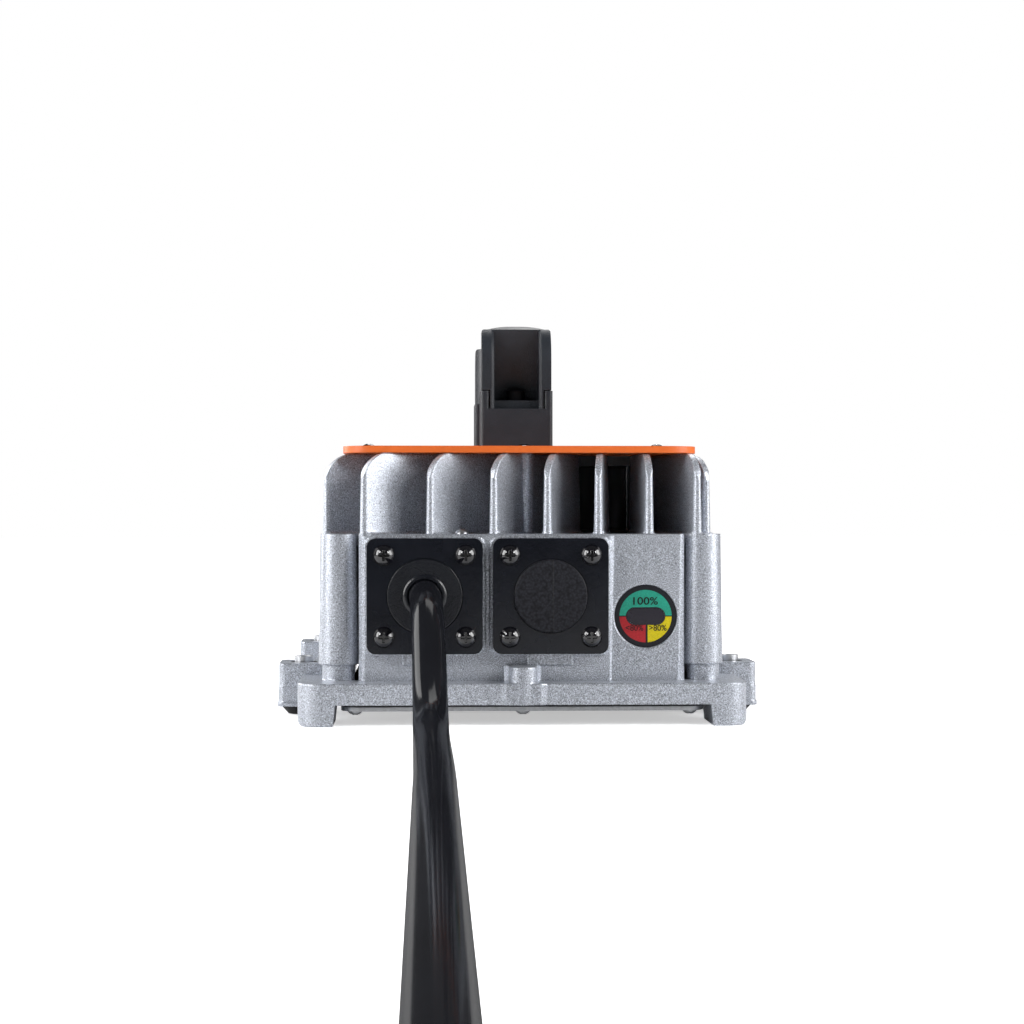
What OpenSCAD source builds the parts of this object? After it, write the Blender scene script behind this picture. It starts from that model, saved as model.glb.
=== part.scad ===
// Fan cooled lithium battery charger: a die cast housing with swirl vanes,
// a sheet cover plate, a carry handle, a fixed output lead and a charge gauge.
// Millimetres, +Z up, the gland face looks along -Y.
// The origin is under the middle of the housing, on the surface it stands on.

/* [Housing] */
// Width of the housing over its corner columns
body_w = 173; // [166:1:178]
// Depth of the housing over its end walls
body_d = 246; // [242:1:256]
// Height of the deck that carries the vanes
deck_z = 80.5; // [79:0.5:90]
// Wall of the casting
wall = 4.5; // [3.5:0.5:5.5]
// Thickness of the deck and of the fan pocket's floor
deck_t = 5; // [4:0.5:6]
// Taper that lets the casting leave its mould, in degrees
draft = 1.2; // [0.6:0.1:1.6]
// Radius of the corner columns at their top
column_r = 7.9; // [7.2:0.1:8.4]

/* [Base flange] */
// How far the base flange stands out past the columns at each side
flange_side = 8.6; // [7:0.1:11]
// How far the base flange stands out past each end wall
flange_end = 15; // [13:0.5:19]
// Height of the flange's underside above the floor
flange_z = 9; // [8.5:0.5:11]
// Thickness of the base flange
flange_t = 9; // [8:0.5:10]
// Width of each cast leg
leg_w = 16.3; // [14:0.1:17]
// Depth of each cast leg
leg_d = 30; // [24:1:36]
// Radius of the half round boss in the middle of each end
boss_r = 5.8; // [5:0.1:6.5]
// Height of that boss's top above the floor
boss_top = 24.8; // [24:0.2:27]

/* [Mounting ears] */
// How far an ear stands out past the columns
ear_out = 19.5; // [17.5:0.5:23]
// Width of an ear along the side of the housing
ear_w = 25; // [22:0.5:28]
// Distance from the middle to an ear's bolt axis along the side
ear_y = 75.5; // [70:0.5:78]
// Height of an ear's top face
ear_top = 23; // [21:0.5:24]
// Inset of the bolt axis from an ear's outer face
ear_inset = 10.5; // [10:0.5:11.5]
// Radius of the bolt hole through each sleeve
ear_hole_r = 2.75; // [2.6:0.05:2.9]

/* [Vanes] */
// Radius of the circle that the vanes are tangent to
vane_circle = 50; // [48:0.5:52]
// Height of the vanes above the deck
vane_h = 35; // [33:0.5:38]
// Thickness of a vane at its foot
vane_foot = 4.0; // [3.4:0.1:4.2]
// Thickness of a vane at its top
vane_tip = 2.5; // [2:0.1:3]
// Radius of a vane's outer shoulder
vane_shoulder = 15; // [12:0.5:17]

/* [Cover plate] */
// Width of the cover plate
plate_w = 154.2; // [148:0.2:158]
// Depth of the cover plate
plate_d = 225; // [220:1:236]
// Thickness of the cover plate
plate_t = 3; // [2.5:0.1:3.4]
// Corner radius of the cover plate
plate_r = 14; // [10:1:18]

/* [Handle] */
// Width of the handle's feet
foot_w = 32.6; // [31:0.2:36]
// Overall length of the handle
handle_l = 140; // [134:1:148]
// Depth of each foot along the handle
foot_l = 26; // [24:1:30]
// Height of each foot's block above the plate
foot_h = 18.2; // [17:0.2:21]
// Height of the cheeks above a foot's block
cheek_h = 8.1; // [6:0.1:9]
// Height of the handle above the plate, at its crown
handle_h = 56.7; // [53:0.1:66]
// Thickness of the grip
grip_t = 19; // [17:0.5:20]
// Width of the grip
grip_w = 31.4; // [30:0.2:32.2]

/* [Outlets] */
// Side of each square outlet flange
gland_w = 49; // [47:0.5:50.5]
// Thickness of each outlet flange
gland_t = 4; // [3.5:0.1:4.5]
// Distance of the lead's flange from the middle
lead_x = -41.5; // [-42.5:0.1:-41]
// Distance of the blanked flange from the middle
blank_x = 11.8; // [11.2:0.1:12.4]
// Height of both flanges' centres
gland_z = 54.3; // [53:0.1:55]
// Half the spacing of the flange screws
gland_pitch = 17.3; // [16.8:0.1:17.6]
// Radius of the rubber grommet in the lead's flange
grommet_r = 16.1; // [15:0.1:16.4]
// Radius of the rubber bung in the blanked flange
bung_r = 15.6; // [15:0.1:16]
// Diameter of the output lead
lead_d = 13.6; // [13:0.1:14]

/* [Gauge] */
// Distance of the gauge from the middle
gauge_x = 52.8; // [52:0.1:53.4]
// Height of the gauge's centre
gauge_z = 45.4; // [44:0.1:48]
// Radius of the gauge's black dial
gauge_r = 13.3; // [12.8:0.1:13.6]
// Radius of the coloured fields
field_r = 11.2; // [10.8:0.1:11.6]
// Length of the lamp window
window_l = 16.4; // [15:0.1:16.8]
// Height of the lamp window
window_h = 7; // [6.4:0.1:7.4]

/* [Fan] */
// Side of the fan's frame
fan_w = 120; // [118:0.5:120]
// Thickness of the fan's frame
fan_t = 38; // [36:0.5:38]
// Half the spacing of the fan's fixing holes
fan_pitch = 52.5; // [52:0.1:53]
// Radius of the fan's throat
fan_bore_r = 58; // [57.5:0.1:58.3]
// Gap between the blade tips and the throat
blade_gap = 1.6; // [1.2:0.1:2.5]
// Radius of the fan's hub
hub_r = 22; // [20:0.5:24]
// Number of fan blades
blade_n = 7; // [5:1:7]
// Pitch of the blades, in degrees
blade_pitch = 38; // [32:1:42]

/* [Cover and gasket] */
// Thickness of the base cover
cover_t = 1.8; // [1.5:0.1:2.2]
// Thickness of the base gasket
gasket_t = 1; // [0.8:0.1:1.2]

/* [Electronics] */
// Length of the main board
board_l = 200; // [190:1:204]
// Width of the main board
board_w = 132; // [126:1:136]
// Height of the main board's underside
board_z = 18; // [16:0.5:19]
// Thickness of the boards
board_t = 1.6; // [1.2:0.1:2]

/* [Hidden] */

$fn = 48;
// Small overlap that makes two parts of one piece meet
eps = 0.02;
// Side clearance of plain fits
fit = 0.2;

// Heights that follow from the sizes above
flange_top = flange_z + flange_t;
plate_z = deck_z + vane_h;
plate_top = plate_z + plate_t;
fan_z = plate_z - fan_t;
pocket_z = fan_z - 12;
cover_z = flange_z - gasket_t - cover_t;
draft_in = (deck_z - flange_top) * tan(draft);

// Plan sizes that follow
end_y = body_d / 2;
flange_w = body_w + 2 * flange_side;
flange_d = body_d + 2 * flange_end;
panel_x = body_w / 2 - 2 * column_r - 1.1;
side_x = body_w / 2 - 2;
column_x = body_w / 2 - column_r - 0.4;
column_y = end_y - column_r - 0.9;
zone_proud = 1.4;
pad_proud = 2.4;
zone_right = blank_x + gland_w / 2 + 1.2;
pad_face = -(end_y + pad_proud);
gasket_face = pad_face - 1;
gland_face = gasket_face - gland_t;
panel_y = end_y - 0.4;
leg_x = flange_w / 2;

// Fan pocket
pocket_x = 66;
pocket_y = 76;
pocket_r = 30;

// Plate fixing posts: one on a front vane, one on a rear vane, four beside the fan
post_r = 4.2;
side_post_x = 68;
side_post_y = 30;
mid_post_x = 2.2;
mid_post_y = 96;
POSTS = [[side_post_x, side_post_y], [-side_post_x, side_post_y],
         [side_post_x, -side_post_y], [-side_post_x, -side_post_y]];

// Cover screws round the base flange
cover_w = 2 * (leg_x - leg_w) - 4;
cover_d = flange_d - 6;
cover_sx = cover_w / 2 - 6;
cover_sy = cover_d / 2 - 6;
COVER_SCREWS = [for (x = [-1, 1], y = [-1, -0.34, 0.34, 1]) [x * cover_sx, y * cover_sy],
                for (y = [-1, 1]) [0, y * cover_sy]];

// Board posts
board_sx = board_w / 2 - 6;
board_sy = board_l / 2 - 6;
BOARD_SCREWS = [for (x = [-1, 1], y = [-1, 0, 1]) [x * board_sx, y * board_sy]];
board_top = board_z + board_t;

ear_x = body_w / 2 + ear_out;
ear_cx = ear_x - ear_inset;

// Route of the output lead, from its grommet down to the floor and out to its coil
lead_r = lead_d / 2;
lie_z = lead_r + 0.15;
lie_x = -38;
LEAD_ROUTE = [[lead_x, gland_face + 0.05, gland_z], [-41.3, -139, 54.1], [-40.8, -152, 52.2],
              [-40.4, -164, 47.8], [-40, -175, 41.4], [-39.7, -185, 34], [-39.5, -195, 26.4],
              [-39.3, -206, 18.9], [-39.1, -219, 12.5], [-39, -234, 8.6], [-38.8, -252, 7.2],
              [-38.6, -275, lie_z], [-38.3, -310, lie_z], [lie_x, -350, lie_z], [lie_x, -390, lie_z],
              [lie_x, -430, lie_z], [lie_x, -470, lie_z], [lie_x, -510, lie_z], [lie_x, -550, lie_z],
              [lie_x, -590, lie_z], [lie_x, -630, lie_z], [lie_x, -670, lie_z], [lie_x, -710, lie_z],
              [lie_x, -750, lie_z], [lie_x, -770, lie_z]];
// Middle of the coil that takes up the spare length
coil_mid_r = 5.2 * lead_d;
coil_x = lie_x - coil_mid_r;
coil_y = -815;
// Plug, reached by a tail that comes down from the coil's upper layer
plug_x = coil_x - coil_mid_r;
plug_y = -722;
plug_z = 8;
TAIL_ROUTE = [[plug_x, -770, 18], [plug_x, -757, 14.8], [plug_x, -744, 11.2], [plug_x, -732, 8.8],
              [plug_x, plug_y, plug_z]];

// Wires inside run through the grommet side by side
wire_r = 1.6;
wire_dx = 4;

// Shared shapes

// Rounded rectangle
module rrect(w, d, r) {
    square([w - 2 * r, d], center = true);
    square([w, d - 2 * r], center = true);
    for (x = [-1, 1], y = [-1, 1]) translate([x * (w / 2 - r), y * (d / 2 - r)]) circle(r);
}

// Slot with round ends
module pill(l, h) {
    square([l - h, h], center = true);
    for (x = [-1, 1]) translate([x * (l - h) / 2, 0]) circle(h / 2);
}

// Block with tapered sides, standing on the flange
module draft_block(x, y, z0, z1) {
    dz = z1 - z0;
    grow = dz * tan(draft);
    intersection() {
        rotate([90, 0, 90]) translate([0, 0, -x - 10]) linear_extrude(2 * x + 20)
            polygon([[-y - grow, z0], [y + grow, z0], [y, z1], [-y, z1]]);
        rotate([90, 0, 0]) translate([0, 0, -y - 10]) linear_extrude(2 * y + 20)
            polygon([[-x - grow, z0], [x + grow, z0], [x, z1], [-x, z1]]);
    }
}

// Screw that stands on z = 0 with a domed head above and its shank below
module dome_screw(head_r, head_h, shank_r, shank_l, slot_l) {
    dome = (head_r * head_r + head_h * head_h) / (2 * head_h);
    difference() {
        union() {
            intersection() {
                cylinder(h = head_h, r = head_r);
                translate([0, 0, head_h - dome]) sphere(dome, $fn = 64);
            }
            translate([0, 0, -shank_l]) cylinder(h = shank_l + eps, r = shank_r);
        }
        for (a = [0, 90]) rotate([0, 0, a])
            translate([-slot_l / 2, -0.5, head_h * 0.45]) cube([slot_l, 1, head_h]);
    }
}

// Socket cap screw
module cap_screw(head_r, head_h, shank_r, shank_l) {
    difference() {
        union() {
            cylinder(h = head_h, r = head_r);
            translate([0, 0, -shank_l]) cylinder(h = shank_l + eps, r = shank_r);
        }
        translate([0, 0, head_h * 0.5]) cylinder(h = head_h, r = shank_r * 0.9, $fn = 6);
    }
}

// Points of a ring across a route
function unit(v) = v / norm(v);
function heading(p, i) = unit(p[min(i + 1, len(p) - 1)] - p[max(i - 1, 0)]);
function across(t) = unit(cross(t, [1, 0, 0]));
function ring_points(c, t, r, n) =
    let (u = across(t), v = cross(t, u))
    [for (k = [0:n - 1]) c + r * (cos(360 * k / n) * u + sin(360 * k / n) * v)];

// Round tube swept along a route
module tube(route, r, n) {
    count = len(route);
    points = [for (i = [0:count - 1]) each ring_points(route[i], heading(route, i), r, n)];
    sides = [for (i = [0:count - 2], k = [0:n - 1])
        [i * n + k, (i + 1) * n + k, (i + 1) * n + (k + 1) % n, i * n + (k + 1) % n]];
    start = [[for (k = [0:n - 1]) k]];
    finish = [[for (k = [n - 1:-1:0]) (count - 1) * n + k]];
    polyhedron(points = points, faces = concat(start, sides, finish), convexity = 6);
}

// Housing

// How far a vane runs from its tangent point to the edge of the deck
vane_edge_x = body_w / 2 - 1;
vane_edge_y = end_y - 1.2;
function reach_x(a) = (vane_circle * cos(a) + (sin(a) > 0 ? 1 : -1) * vane_edge_x) / sin(a);
function reach_y(a) = (-vane_circle * sin(a) + (cos(a) > 0 ? 1 : -1) * vane_edge_y) / cos(a);
function vane_reach(a) = min(reach_x(a), reach_y(a));

// Vane profile seen from its side
module vane_side(reach, from) {
    r = vane_shoulder;
    polygon(concat([[from, -1], [reach, -1]],
        [for (a = [0:10:90]) [reach - r + r * cos(a), vane_h - r + r * sin(a)]],
        [[from, vane_h]]));
}

// Vane profile seen along it, with a small foot and eased top edges
module vane_section() {
    f = vane_foot / 2;
    t = vane_tip / 2;
    polygon([[-f - 1.4, -1], [f + 1.4, -1], [f + 1.4, 0], [f + 0.4, 0.4], [f, 1.4],
             [t + 0.1, vane_h - 0.8], [t - 0.6, vane_h], [-t + 0.6, vane_h],
             [-t - 0.1, vane_h - 0.8], [-f, 1.4], [-f - 0.4, 0.4], [-f - 1.4, 0]]);
}

module vane(a) {
    reach = vane_reach(a);
    from = 34;
    nose = vane_foot / 2;
    translate([vane_circle * cos(a), -vane_circle * sin(a), deck_z]) rotate([0, 0, 270 - a])
        intersection() {
            translate([0, 8, 0]) rotate([90, 0, 0]) linear_extrude(16) vane_side(reach, from);
            union() {
                translate([from - 1, 0, 0]) rotate([90, 0, 90])
                    linear_extrude(reach - nose - from + 1) vane_section();
                translate([reach - nose, 0, -1]) cylinder(h = vane_h + 1, r1 = nose, r2 = vane_tip / 2);
            }
        }
}

// Directions of the vanes, in degrees: those that end at the front, from right to left,
// then an even spread along the left side. The rear and the right side repeat them half a turn on.
FRONT_VANES = [-21.5, -11.5, -2.2, 8.4, 19.3, 30.2, 41.3, 50.4, 61];
side_vane_n = 8;
last_front = FRONT_VANES[len(FRONT_VANES) - 1];
side_pitch = (180 + FRONT_VANES[0] - last_front) / (side_vane_n + 1);
VANES = concat(FRONT_VANES, [for (i = [1:side_vane_n]) last_front + i * side_pitch]);

module vanes() {
    difference() {
        union() for (a = VANES, turn = [0, 180]) vane(a + turn);
        translate([0, 0, pocket_z]) linear_extrude(vane_h * 3) rrect(2 * pocket_x, 2 * pocket_y, pocket_r);
    }
}

// End wall in plan, chamfered at the sides and with room for its taper
module end_panel() {
    e = 4.6;
    y = panel_y + 3;
    polygon([[-panel_x, -10], [panel_x, -10], [panel_x, y - e], [panel_x - e, y],
             [-panel_x + e, y], [-panel_x, y - e]]);
}

module shell_outside() {
    draft_block(side_x - draft_in, column_y - draft_in, flange_top - eps, deck_z);
    intersection() {
        draft_block(panel_x + 2, panel_y, flange_top - eps, deck_z);
        for (s = [0, 180]) rotate([0, 0, s]) translate([0, 0, flange_top - eps])
            linear_extrude(deck_z - flange_top + eps) end_panel();
    }
    for (x = [-1, 1], y = [-1, 1]) translate([x * column_x, y * column_y, 0]) {
        translate([0, 0, boss_top - eps])
            cylinder(h = deck_z - boss_top + eps, r1 = column_r + draft_in * 0.7, r2 = column_r);
        translate([0, 0, flange_z]) cylinder(h = boss_top - flange_z, r = column_r - 0.6);
    }
}

// Raised zone and pads that the outlet flanges seat on
module outlet_pads() {
    zone_h = deck_z - 0.8 - flange_top;
    translate([0, 0, flange_top - eps]) linear_extrude(zone_h)
        polygon([[-panel_x + 1, -end_y + 6], [zone_right + 1.4, -end_y + 6], [zone_right + 1.4, -end_y],
                 [zone_right, -end_y - zone_proud], [-panel_x + 2.4, -end_y - zone_proud],
                 [-panel_x + 1, -end_y]]);
    // short rib in the groove between the pads
    translate([(lead_x + blank_x) / 2 - 0.8, -end_y - zone_proud - 0.6, gland_z - 11.7])
        cube([1.6, zone_proud + 2, 22.4]);
    for (x = [lead_x, blank_x]) {
        translate([x, -end_y + 4, gland_z]) rotate([90, 0, 0])
            linear_extrude(4 + pad_proud) rrect(gland_w + 2.2, gland_w + 2.2, 4.8);
        translate([x - 9.4, -end_y - pad_proud, boss_top])
            cube([18.8, pad_proud + 2, deck_z - boss_top - 0.8]);
    }
}

module leg_profile() {
    r = 3;
    x = leg_x;
    polygon(concat([[x - leg_w, flange_top - 1], [x - leg_w + 0.2, flange_z], [x - leg_w + 1.2, 0]],
        [for (a = [-90:15:0]) [x - r + r * cos(a), r + r * sin(a)]],
        [[x, flange_top - 1]]));
}

// Base flange seen from above, which the legs keep to
module flange_outline() {
    rrect(flange_w, flange_d, 10);
}

module legs() {
    intersection() {
        for (mx = [0, 1], my = [0, 1]) mirror([mx, 0, 0]) mirror([0, my, 0])
            translate([0, -flange_d / 2 + leg_d, 0]) rotate([90, 0, 0]) linear_extrude(leg_d) leg_profile();
        linear_extrude(flange_top) flange_outline();
    }
}

ear_fillet = 5;
mould_line_z = 12.7;
mould_step = 0.2;
module ears() {
    for (mx = [0, 1], my = [0, 1]) mirror([mx, 0, 0]) mirror([0, my, 0]) {
        w = ear_x - side_x + 8;
        difference() {
            union() {
                translate([ear_x - w / 2, -ear_y, 5.8]) linear_extrude(ear_top - 5.8) rrect(w, ear_w, 3);
                // the lower half stands out by a hair, where the two halves of the mould met
                translate([ear_x + mould_step - w / 2, -ear_y, 5.8]) linear_extrude(mould_line_z - 5.8)
                    rrect(w, ear_w + 2 * mould_step, 3);
                // fillet up to the side wall
                translate([side_x - 3, -ear_y - ear_w / 2, ear_top - 1])
                    cube([3 + eps, ear_w, ear_fillet + 1]);
                translate([side_x, -ear_y + ear_w / 2, ear_top - eps]) rotate([90, 0, 0])
                    linear_extrude(ear_w) difference() {
                        square(ear_fillet);
                        translate([ear_fillet, ear_fillet]) circle(ear_fillet);
                    }
                translate([ear_x + 0.6 - w / 2, -ear_y, 4]) linear_extrude(1.9) rrect(w, ear_w + 1.2, 3);
            }
            translate([side_x - 20, -ear_y - 30, 3.9])
                cube([leg_x - side_x + 17.5, 60, flange_z - 3.9 + eps]);
        }
    }
}

edge_pad = 1.3;
wall_pad = 3.2;
module end_bosses() {
    y = -flange_d / 2;
    for (s = [0, 180]) rotate([0, 0, s]) {
        // eased pads that carry the boss, on the flange's edge and on the end wall
        translate([0, 0, flange_z]) linear_extrude(flange_t)
            polygon([[-9.8, y + 2], [-9.8, y], [-7, y - edge_pad], [7, y - edge_pad], [9.8, y], [9.8, y + 2]]);
        translate([0, 0, flange_top - eps]) linear_extrude(boss_top - flange_top + eps)
            polygon([[-9, 3 - end_y], [-9, -end_y], [-6, -end_y - wall_pad], [6, -end_y - wall_pad],
                     [9, -end_y], [9, 3 - end_y]]);
        translate([0, -flange_d / 2 + boss_r - 2, flange_z]) cylinder(h = boss_top - flange_z, r = boss_r);
        translate([-boss_r, -flange_d / 2 + boss_r - 2, flange_z])
            cube([2 * boss_r, 14, boss_top - flange_z]);
    }
}

// Room inside for the electronics
module cavity() {
    inner_x = side_x - draft_in - wall;
    inner_y = end_y - draft_in - wall - 0.4;
    low_top = pocket_z - deck_t;
    difference() {
        union() {
            translate([0, 0, flange_z - 1]) linear_extrude(low_top - flange_z + 1)
                rrect(2 * inner_x, 2 * inner_y, 10);
            translate([0, 0, low_top - eps]) linear_extrude(deck_z - deck_t - low_top) difference() {
                rrect(2 * inner_x, 2 * inner_y, 10);
                rrect(2 * pocket_x + 2 * wall, 2 * pocket_y + 2 * wall, pocket_r + wall);
            }
        }
        for (p = BOARD_SCREWS) translate([p[0], p[1], board_top]) cylinder(h = deck_z, r = 4);
    }
}

module posts() {
    for (p = POSTS) translate([p[0], p[1], pocket_z - 1])
        cylinder(h = plate_z - pocket_z + 1, r = post_r + 0.3);
    for (s = [0, 180]) rotate([0, 0, s]) translate([mid_post_x, -mid_post_y, deck_z - 1])
        cylinder(h = vane_h + 1, r = post_r);
}

module post_holes() {
    for (p = POSTS) translate([p[0], p[1], plate_z - 12]) cylinder(h = 13, r = 1.65);
    for (s = [0, 180]) rotate([0, 0, s]) translate([mid_post_x, -mid_post_y, plate_z - 12])
        cylinder(h = 13, r = 1.65);
}

module housing() {
    color([0.70, 0.71, 0.73]) difference() {
        union() {
            difference() {
                union() {
                    shell_outside();
                    outlet_pads();
                    translate([0, 0, flange_z]) linear_extrude(flange_t) flange_outline();
                    legs();
                    ears();
                    end_bosses();
                }
                translate([0, 0, pocket_z]) linear_extrude(deck_z)
                    rrect(2 * pocket_x, 2 * pocket_y, pocket_r);
                cavity();
            }
            vanes();
            posts();
        }
        post_holes();
        for (p = BOARD_SCREWS) translate([p[0], p[1], board_top - 1]) cylinder(h = 13, r = 1.25);
        for (p = COVER_SCREWS) translate([p[0], p[1], flange_z - 1]) cylinder(h = 8, r = 1.65);
        for (mx = [-1, 1], my = [-1, 1]) translate([mx * ear_cx, my * ear_y, 0])
            cylinder(h = ear_top + 1, r = 6 + fit);
        translate([lead_x, -end_y + 20, gland_z]) rotate([90, 0, 0]) cylinder(h = 40, r = 11);
        translate([blank_x, -end_y + 20, gland_z]) rotate([90, 0, 0]) cylinder(h = 40, r = 11);
        for (x = [lead_x, blank_x], sx = [-1, 1], sz = [-1, 1])
            translate([x + sx * gland_pitch, pad_face + 14, gland_z + sz * gland_pitch])
                rotate([90, 0, 0]) cylinder(h = 15, r = 2.1);
        translate([gauge_x, -panel_y - 3, gauge_z]) rotate([-90, 0, 0]) cylinder(h = 3.6, r = gauge_r + 0.2);
        translate([gauge_x, -end_y + 20, gauge_z]) rotate([90, 0, 0]) linear_extrude(40)
            pill(window_l - 2, window_h - 2);
        translate([deck_screw_x, deck_screw_y, deck_z - 4.4]) cylinder(h = 6, r = 1.65);
        for (s = [-1, 1]) translate([s * fan_wire_x, fan_wire_y, pocket_z - deck_t - 1])
            cylinder(h = deck_t + 2, r = 3);
    }
}

// Place of the small screw on the deck and of the holes for the fan's wires
deck_screw_x = -25.6;
deck_screw_y = 7.5 - end_y;
fan_wire_x = 62;
fan_wire_y = 4;

module deck_screw() {
    color([0.75, 0.75, 0.76]) translate([deck_screw_x, deck_screw_y, deck_z])
        dome_screw(3.3, 2.4, 1.6, 4, 3.4);
}

// Base

module base_outline() {
    rrect(cover_w, cover_d, 8);
}

module base_gasket() {
    color([0.06, 0.06, 0.07]) translate([0, 0, flange_z - gasket_t]) difference() {
        linear_extrude(gasket_t) difference() {
            base_outline();
            rrect(cover_w - 24, cover_d - 24, 6);
        }
        for (p = COVER_SCREWS) translate([p[0], p[1], -1]) cylinder(h = 4, r = 2);
    }
}

module base_cover() {
    color([0.55, 0.56, 0.58]) translate([0, 0, cover_z]) difference() {
        linear_extrude(cover_t) base_outline();
        for (p = COVER_SCREWS) translate([p[0], p[1], -1]) cylinder(h = 4, r = 2);
    }
}

module base_cover_screws() {
    color([0.35, 0.35, 0.36]) for (p = COVER_SCREWS) translate([p[0], p[1], cover_z])
        rotate([180, 0, 0]) dome_screw(3.4, 2, 1.6, 8.5, 3);
}

module rubber_feet() {
    color([0.07, 0.07, 0.08]) for (mx = [-1, 1], my = [-1, 1]) translate([mx * ear_cx, my * ear_y, 0])
        difference() {
            union() {
                cylinder(h = 3.4, r1 = 7, r2 = 10.2);
                translate([0, 0, 3.4 - eps]) cylinder(h = 0.6, r = 9.2);
                translate([0, 0, 4 - 2 * eps]) cylinder(h = ear_top - 4, r = 6);
            }
            translate([0, 0, -1]) cylinder(h = ear_top + 4, r = sleeve_r + 0.05);
        }
}

sleeve_r = 4.3;
sleeve_top = 25.6;
module foot_sleeves() {
    color([0.45, 0.45, 0.46]) for (mx = [-1, 1], my = [-1, 1]) translate([mx * ear_cx, my * ear_y, 0.6])
        difference() {
            cylinder(h = sleeve_top - 0.6, r = sleeve_r);
            translate([0, 0, -1]) cylinder(h = sleeve_top + 2, r = ear_hole_r);
        }
}

// Cover plate

// One ring slot of the intake grille, kept clear of the band under the handle
module grille() {
    for (r = [14:9:50]) difference() {
        circle(r + 6, $fn = 96);
        circle(r, $fn = 96);
    }
}

module top_plate() {
    color([0.89, 0.43, 0.19]) translate([0, 0, plate_z]) difference() {
        linear_extrude(plate_t) difference() {
            rrect(plate_w, plate_d, plate_r);
            difference() {
                grille();
                square([foot_w + 6, 140], center = true);
                for (a = [-32, 0, 32]) rotate([0, 0, a]) square([140, 3.5], center = true);
            }
        }
        for (p = POSTS) translate([p[0], p[1], -1]) cylinder(h = plate_t + 2, r = 2.2);
        for (s = [0, 180]) rotate([0, 0, s]) translate([mid_post_x, -mid_post_y, -1])
            cylinder(h = plate_t + 2, r = 2.2);
        for (x = [-1, 1], y = [-1, 1]) translate([x * fan_pitch, y * fan_pitch, 0]) {
            translate([0, 0, -1]) cylinder(h = plate_t + 2, r = 2.2);
            translate([0, 0, plate_t - 2.2]) cylinder(h = 2.3, r1 = 2.1, r2 = 4.4);
        }
        for (y = [-1, 1], k = [-1, 1]) translate([0, y * (foot_y + k * foot_pitch), 0]) {
            translate([0, 0, -1]) cylinder(h = plate_t + 2, r = 2.7);
            translate([0, 0, -0.1]) cylinder(h = 2.5, r1 = 5, r2 = 2.6);
        }
    }
}

module top_plate_screws() {
    color([0.12, 0.12, 0.13]) {
        for (p = POSTS) translate([p[0], p[1], plate_top]) dome_screw(4.4, 3.6, 1.6, 10, 4);
        for (s = [0, 180]) rotate([0, 0, s]) translate([mid_post_x, -mid_post_y, plate_top])
            dome_screw(4, 1.4, 1.6, 10, 4);
    }
}

// Handle

foot_y = handle_l / 2 - foot_l / 2;
foot_pitch = 8;
cheek_w = 4;
fork_x = foot_w / 2 - cheek_w;
tongue_w = 2 * fork_x - 0.6;
grip_top = plate_top + handle_h;
block_top = plate_top + foot_h;

// Crown of the grip, and how far it stands above the flat shoulder at each side
crown = 1.9;
crown_x = 13;
crown_r = (crown_x * crown_x + crown * crown) / (2 * crown);
// Radius of the grip's ends seen from the side
shoulder_r = 17;
// The grip is drawn in by this much at each side, over this length
waist = 3.3;
waist_l = 111;
// Half the width of the recess in each end, past its chamfer and at its mouth
recess_x = 10.2;
mouth_x = 11.3;

// Foot: a block with a cheek on each side that takes the grip's end
module foot() {
    difference() {
        union() {
            translate([0, 0, plate_top]) linear_extrude(foot_h) rrect(foot_w, foot_l, 1.6);
            for (x = [-1, 1]) translate([x * (foot_w - cheek_w) / 2, 0, block_top - 2])
                linear_extrude(cheek_h + 2) rrect(cheek_w, foot_l, 1.6);
        }
        for (k = [-1, 1]) translate([0, k * foot_pitch, plate_top - 1]) cylinder(h = 11, r = 2.1);
        translate([0, 0, block_top - 9]) cylinder(h = 10, r = 2.1);
    }
}

module handle_front_foot() {
    color([0.17, 0.17, 0.19]) translate([0, -foot_y, 0]) foot();
}

module handle_rear_foot() {
    color([0.17, 0.17, 0.19]) translate([0, foot_y, 0]) foot();
}

// Grip seen from the side: a bridge with round shoulders and a round opening
module grip_side() {
    l = handle_l;
    h = grip_top - block_top;
    r = shoulder_r;
    inner = l - 2 * foot_l + 4;
    difference() {
        union() {
            translate([-l / 2, 0]) square([l, h - r]);
            translate([-l / 2 + r, 0]) square([l - 2 * r, h]);
            for (s = [-1, 1]) translate([s * (l / 2 - r), h - r]) circle(r, $fn = 96);
        }
        translate([-inner / 2, -1]) square([inner, h - grip_t - 12 + 1]);
        translate([-inner / 2 + 12, -1]) square([inner - 24, h - grip_t + 1]);
        for (s = [-1, 1]) translate([s * (inner / 2 - 12), h - grip_t - 12]) circle(12);
    }
}

// Grip seen from its end: a crown between two flat shoulders
module grip_end() {
    low = block_top - 4;
    high = grip_top - crown;
    translate([0, (low + high) / 2]) rrect(grip_w, high - low, 1.2);
    intersection() {
        translate([0, grip_top - crown_r]) circle(crown_r, $fn = 160);
        translate([-crown_x, block_top]) square([2 * crown_x, handle_h]);
    }
}

// Grip seen from above: drawn in between its ends
module grip_plan() {
    difference() {
        square([grip_w, handle_l], center = true);
        for (x = [-1, 1]) translate([x * (grip_w / 2 - waist + 10), 0]) rrect(20, waist_l, 8);
    }
}

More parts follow.
